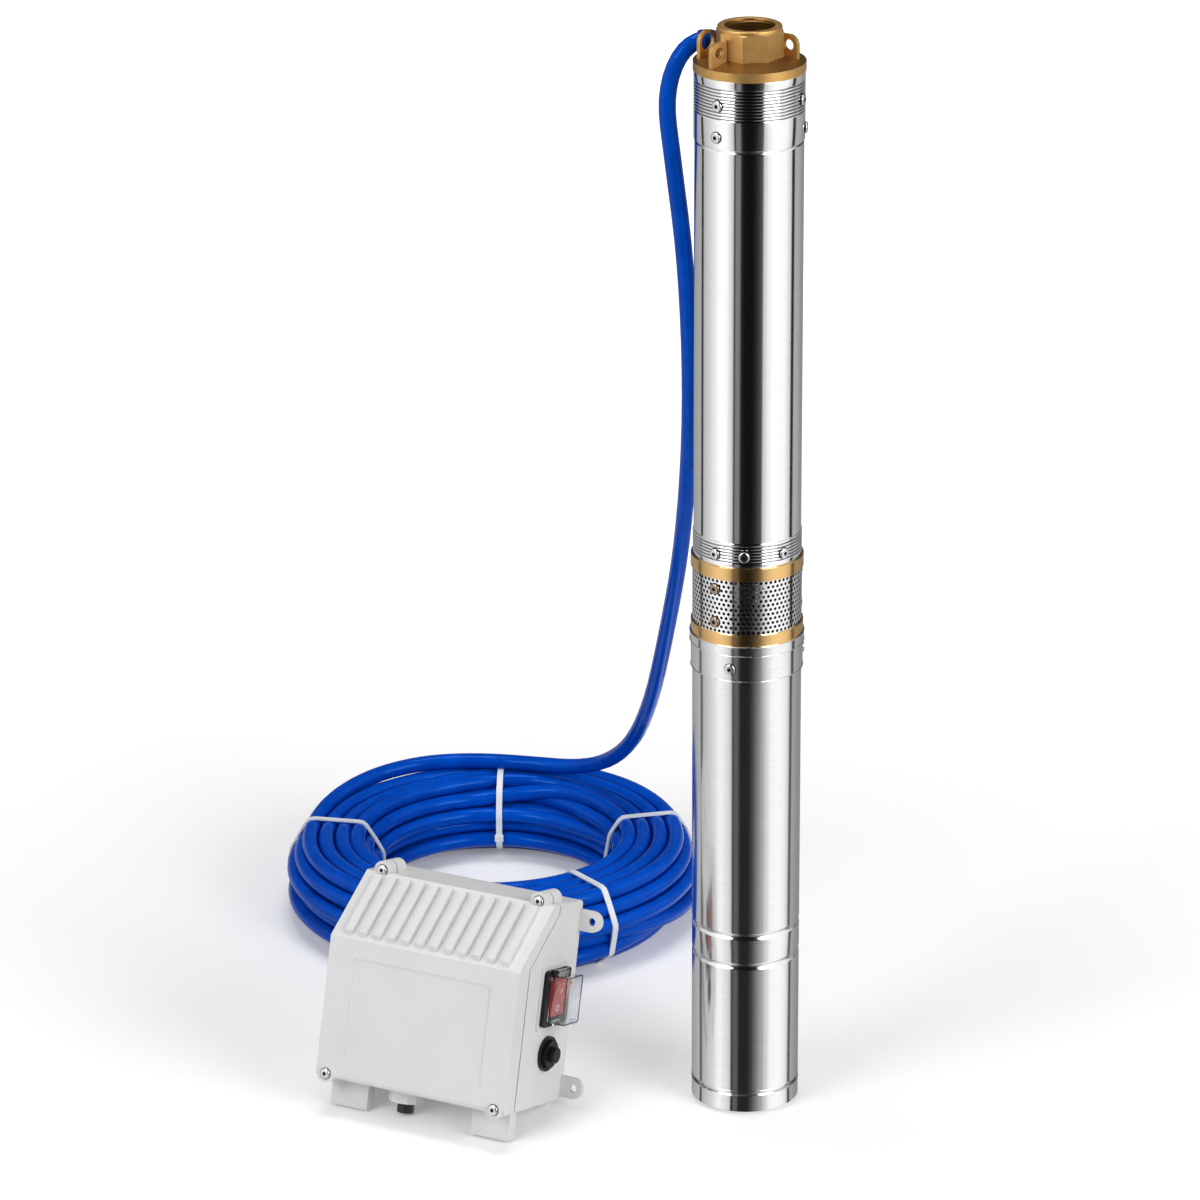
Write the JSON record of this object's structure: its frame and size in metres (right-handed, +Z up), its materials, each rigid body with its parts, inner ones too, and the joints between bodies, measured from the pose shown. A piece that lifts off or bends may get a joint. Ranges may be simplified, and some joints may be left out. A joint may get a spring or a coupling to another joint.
{
  "type": "borehole submersible pump",
  "caption": "Slim borehole submersible pump with brass threaded discharge head and intake strainer, a coiled supply cable and a separate control box with rocker switch.",
  "frame": {"origin": "centre of the flat foot of the motor, on the surface it stands on", "axes": "+Z up along the pump's axis to the discharge outlet, +X to the right and +Y away from the picture's viewpoint"},
  "size_m": [0.3793, 0.5858, 0.7775],
  "materials": {
    "polished_stainless": "mirror polished tube",
    "steel_fasteners": "machined",
    "steel_shaft": "ground",
    "cast_brass": "satin casting",
    "moulded_noryl": "moulded",
    "bearing_iron": "machined casting",
    "carbon_face": "lapped",
    "laminated_steel": "stacked sheet",
    "copper_winding": "enamelled",
    "seal_rubber": "moulded",
    "cable_jacket": "extruded jacket",
    "boot_rubber": "moulded",
    "tie_nylon": "moulded",
    "box_abs": "fine moulded texture",
    "switch_black": "moulded",
    "rocker_red": "moulded",
    "clear_cover": "clear moulding",
    "gland_nylon": "moulded",
    "mains_rubber": "extruded jacket",
    "capacitor_case": "drawn can",
    "terminal_plastic": "moulded"
  },
  "bodies": {
    "casing": {"bowl_1": "moulded_noryl", "bowl_2": "moulded_noryl", "bowl_3": "moulded_noryl", "bowl_4": "moulded_noryl", "bowl_5": "moulded_noryl", "bowl_6": "moulded_noryl", "box_cover": "box_abs", "box_housing": "box_abs", "cable_boot": "boot_rubber", "cable_coil": "cable_jacket", "cable_gland": "seal_rubber", "capacitor": "capacitor_case", "check_valve_spring": "steel_shaft", "coil_ties": "tie_nylon", "collar_screws": "steel_fasteners", "cover_gasket": "seal_rubber", "cover_screws": "steel_fasteners", "discharge_bowl": "moulded_noryl", "discharge_head": "cast_brass", "drop_cable": "cable_jacket", "head_screws": "steel_fasteners", "intake_bracket": "cast_brass", "intake_screws": "steel_fasteners", "lower_bearing": "bearing_iron", "mains_gland": "gland_nylon", "mains_stub": "mains_rubber", "motor_collar": "polished_stainless", "motor_foot": "polished_stainless", "motor_lead": "seal_rubber", "motor_tube": "polished_stainless", "pump_tube": "polished_stainless", "reset_bezel": "switch_black", "shaft_seal": "seal_rubber", "stator_core": "laminated_steel", "stator_windings": "copper_winding", "strainer": "polished_stainless", "strainer_screws": "steel_fasteners", "switch_bezel": "switch_black", "terminal_block": "terminal_plastic", "thrust_ring": "carbon_face", "top_bush": "seal_rubber", "upper_bearing": "bearing_iron", "valve_cage": "cast_brass"},
    "rotor": {"motor_shaft": "steel_shaft", "rotor_core": "laminated_steel", "thrust_disc": "steel_shaft", "shaft_coupling": "steel_shaft", "pump_shaft": "steel_shaft", "shaft_locknut": "steel_fasteners", "impeller_1": "moulded_noryl", "impeller_2": "moulded_noryl", "impeller_3": "moulded_noryl", "impeller_4": "moulded_noryl", "impeller_5": "moulded_noryl", "impeller_6": "moulded_noryl"},
    "valve": {"check_valve_disc": "cast_brass"},
    "rocker": {"rocker": "rocker_red"},
    "flip_cover": {"switch_flip_cover": "clear_cover"},
    "reset_button": {"reset_button": "switch_black"}
  },
  "joints": [
    {"name": "rotor_spin", "type": "hinge", "parent": "casing", "child": "rotor", "pos_m": [0, 0, 0.38], "axis": [0, 0, 1], "continuous": true},
    {"name": "check_valve_lift", "type": "slide", "parent": "casing", "child": "valve", "axis": [0, 0, 1], "range_m": [0, 0.006], "stiffness_N_per_m": 150, "springref_m": -0.002, "deforming": ["check_valve_spring"]},
    {"name": "rocker_tilt", "type": "hinge", "parent": "casing", "child": "rocker", "pos_m": [-0.13453, -0.03178, 0.08942], "axis": [-0.4385, -0.8606, 0.2588], "range_deg": [0, 18]},
    {"name": "flip_cover_hinge", "type": "hinge", "parent": "casing", "child": "flip_cover", "pos_m": [-0.12794, -0.02964, 0.10768], "axis": [-0.4385, -0.8606, 0.2588], "range_deg": [0, 100]},
    {"name": "reset_press", "type": "slide", "parent": "casing", "child": "reset_button", "axis": [-0.891, 0.454, 0], "range_m": [0, 0.0025], "stiffness_N_per_m": 400, "springref_m": -0.002}
  ]
}
